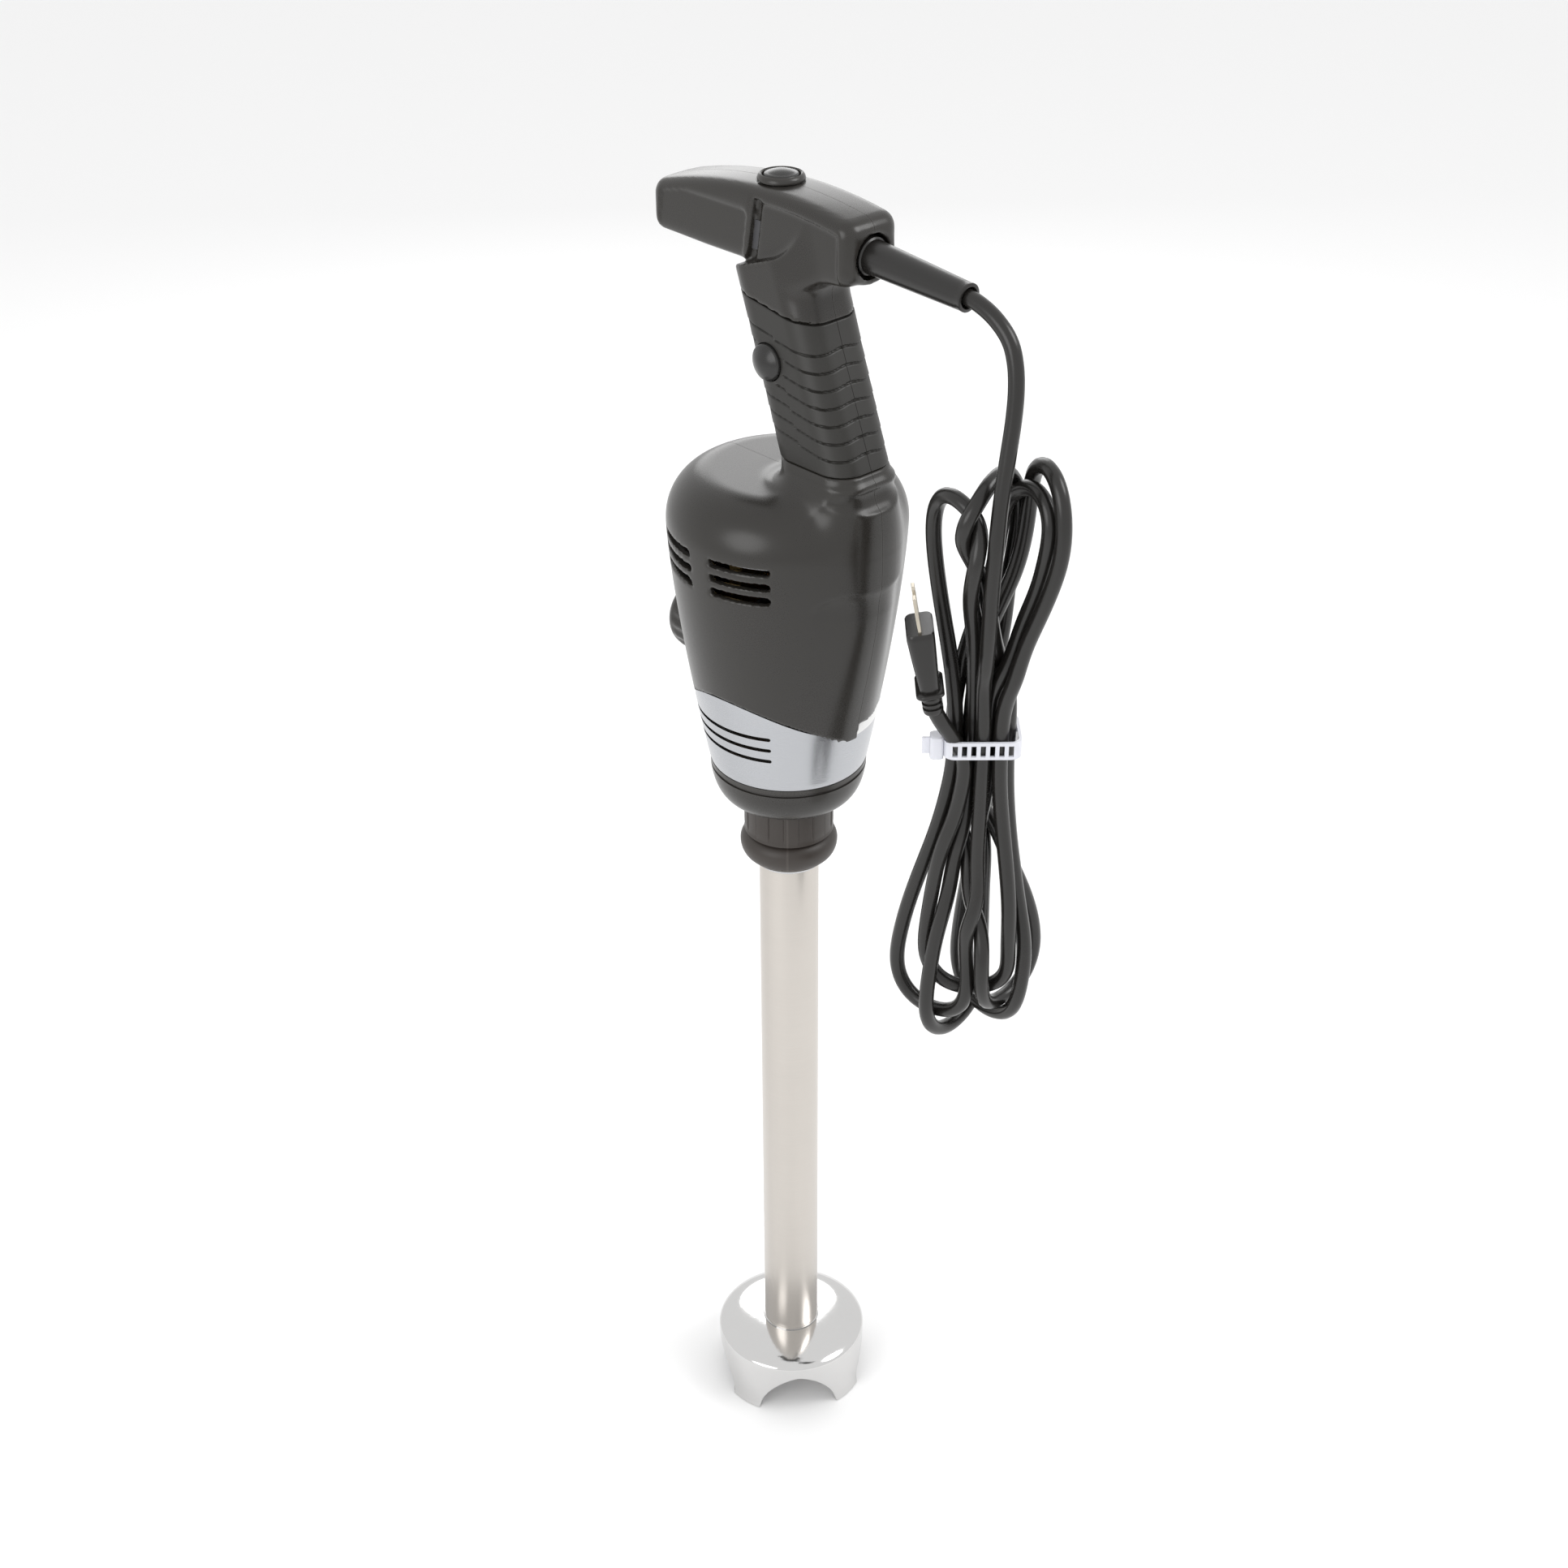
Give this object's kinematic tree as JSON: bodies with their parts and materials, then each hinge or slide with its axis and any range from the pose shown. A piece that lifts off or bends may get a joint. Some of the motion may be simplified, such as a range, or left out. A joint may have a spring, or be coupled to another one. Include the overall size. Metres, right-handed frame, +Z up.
{
  "type": "immersion blender",
  "caption": "Hand-held immersion blender with a leaning pistol grip, T-shaped head, tapered motor housing, steel shaft, bell blade guard and mains cord in a tied hank.",
  "frame": {"origin": "on the axis of the shaft tube, in the plane that the feet of the bell guard stand on", "axes": "+Z up along the shaft tube, +Y towards the rear where the cord leaves the head, -Y towards the nose and the speed knob, +X towards the side button"},
  "size_m": [0.1204, 0.242, 0.7495],
  "materials": {
    "black_plastic": "fine satin texture, warm black",
    "soft_rubber": "soft matte rubber, grooved",
    "brushed_band": "brushed stainless sheet",
    "collar_plastic": "ribbed brown-black plastic",
    "spigot_alloy": "machined alloy",
    "plate_white": "blank light plate",
    "button_plastic": "satin black",
    "spring_steel": "bright spring wire",
    "switch_plastic": "moulded switch body",
    "board_green": "circuit board with parts",
    "cast_alloy": "die-cast",
    "iron_stack": "laminated iron",
    "copper": "enamelled copper",
    "shaft_steel": "ground steel",
    "fan_nylon": "natural nylon",
    "brass": "brass sheet",
    "carbon": "pressed carbon",
    "cord_rubber": "smooth rubber cord jacket",
    "tie_nylon": "translucent white nylon",
    "plug_metal": "nickel-plated brass",
    "satin_steel": "satin stainless tube",
    "polished_steel": "mirror-polished stainless",
    "bronze": "sintered bronze",
    "seal_rubber": "silicone rubber"
  },
  "bodies": {
    "housing": {"shell_left": "black_plastic", "shell_right": "black_plastic", "grip_sleeve_left": "soft_rubber", "grip_sleeve_right": "soft_rubber", "steel_band": "brushed_band", "bottom_cap": "black_plastic", "drive_spigot": "spigot_alloy", "rating_plate": "plate_white", "button_bezel": "black_plastic", "top_button_spring": "spring_steel", "power_switch": "switch_plastic", "lock_switch": "switch_plastic", "potentiometer": "switch_plastic", "control_board": "board_green", "upper_bracket": "cast_alloy", "lower_bracket": "cast_alloy", "stator": "iron_stack", "field_coils": "copper", "upper_bearing": "shaft_steel", "lower_bearing": "shaft_steel", "brush_holders": "brass", "carbon_brushes": "carbon", "shell_screws": "spring_steel", "cord_clamp": "switch_plastic", "strain_relief": "cord_rubber", "cord_lead": "cord_rubber", "cord_hank": "cord_rubber", "cord_tie": "tie_nylon", "plug_body": "cord_rubber", "plug_blades": "plug_metal"},
    "rotor": {"motor_shaft": "shaft_steel", "armature": "iron_stack", "commutator": "copper", "cooling_fan": "fan_nylon", "motor_dog": "shaft_steel"},
    "power_button": {"top_button": "button_plastic"},
    "lock_button": {"side_button": "button_plastic", "side_button_spring": "spring_steel"},
    "speed_dial": {"speed_knob": "black_plastic", "speed_dial_shaft": "shaft_steel"},
    "wand": {"shaft_tube": "satin_steel", "wand_hub": "satin_steel", "hub_gasket": "seal_rubber", "retaining_ring": "shaft_steel", "upper_bush": "bronze", "lower_hub": "satin_steel", "lower_bush": "bronze", "shaft_seal": "seal_rubber", "bell_guard": "polished_steel"},
    "collar": {"coupling_collar": "collar_plastic"},
    "blade_shaft": {"drive_shaft": "shaft_steel", "shaft_dog": "shaft_steel", "blade": "polished_steel", "blade_nut": "polished_steel"}
  },
  "joints": [
    {"name": "rotor_spin", "type": "hinge", "parent": "housing", "child": "rotor", "pos_m": [0, 0, 0.5], "axis": [0, 0, 1], "continuous": true},
    {"name": "wand_release", "type": "slide", "parent": "housing", "child": "wand", "axis": [0, 0, -1], "range_m": [0, 0.045]},
    {"name": "collar_turn", "type": "hinge", "parent": "wand", "child": "collar", "pos_m": [0, 0, 0.4], "axis": [0, 0, -1], "range_deg": [0, 270]},
    {"name": "blade_spin", "type": "hinge", "parent": "wand", "child": "blade_shaft", "pos_m": [0, 0, 0.011], "axis": [0, 0, 1], "continuous": true},
    {"name": "power_button_press", "type": "slide", "parent": "housing", "child": "power_button", "axis": [0, 0, -1], "range_m": [0, 0.003], "stiffness_N_per_m": 900, "springref_m": -0.001, "deforming": ["top_button_spring"]},
    {"name": "lock_button_press", "type": "slide", "parent": "housing", "child": "lock_button", "axis": [-1, 0, 0], "range_m": [0, 0.0025], "stiffness_N_per_m": 900, "springref_m": -0.001},
    {"name": "speed_dial_turn", "type": "hinge", "parent": "housing", "child": "speed_dial", "pos_m": [0, -0.065, 0.4985], "axis": [0, -1, 0], "range_deg": [0, 270]}
  ],
  "couplings": [
    {"joint": "blade_spin", "follows": "rotor_spin", "ratio": 1}
  ]
}
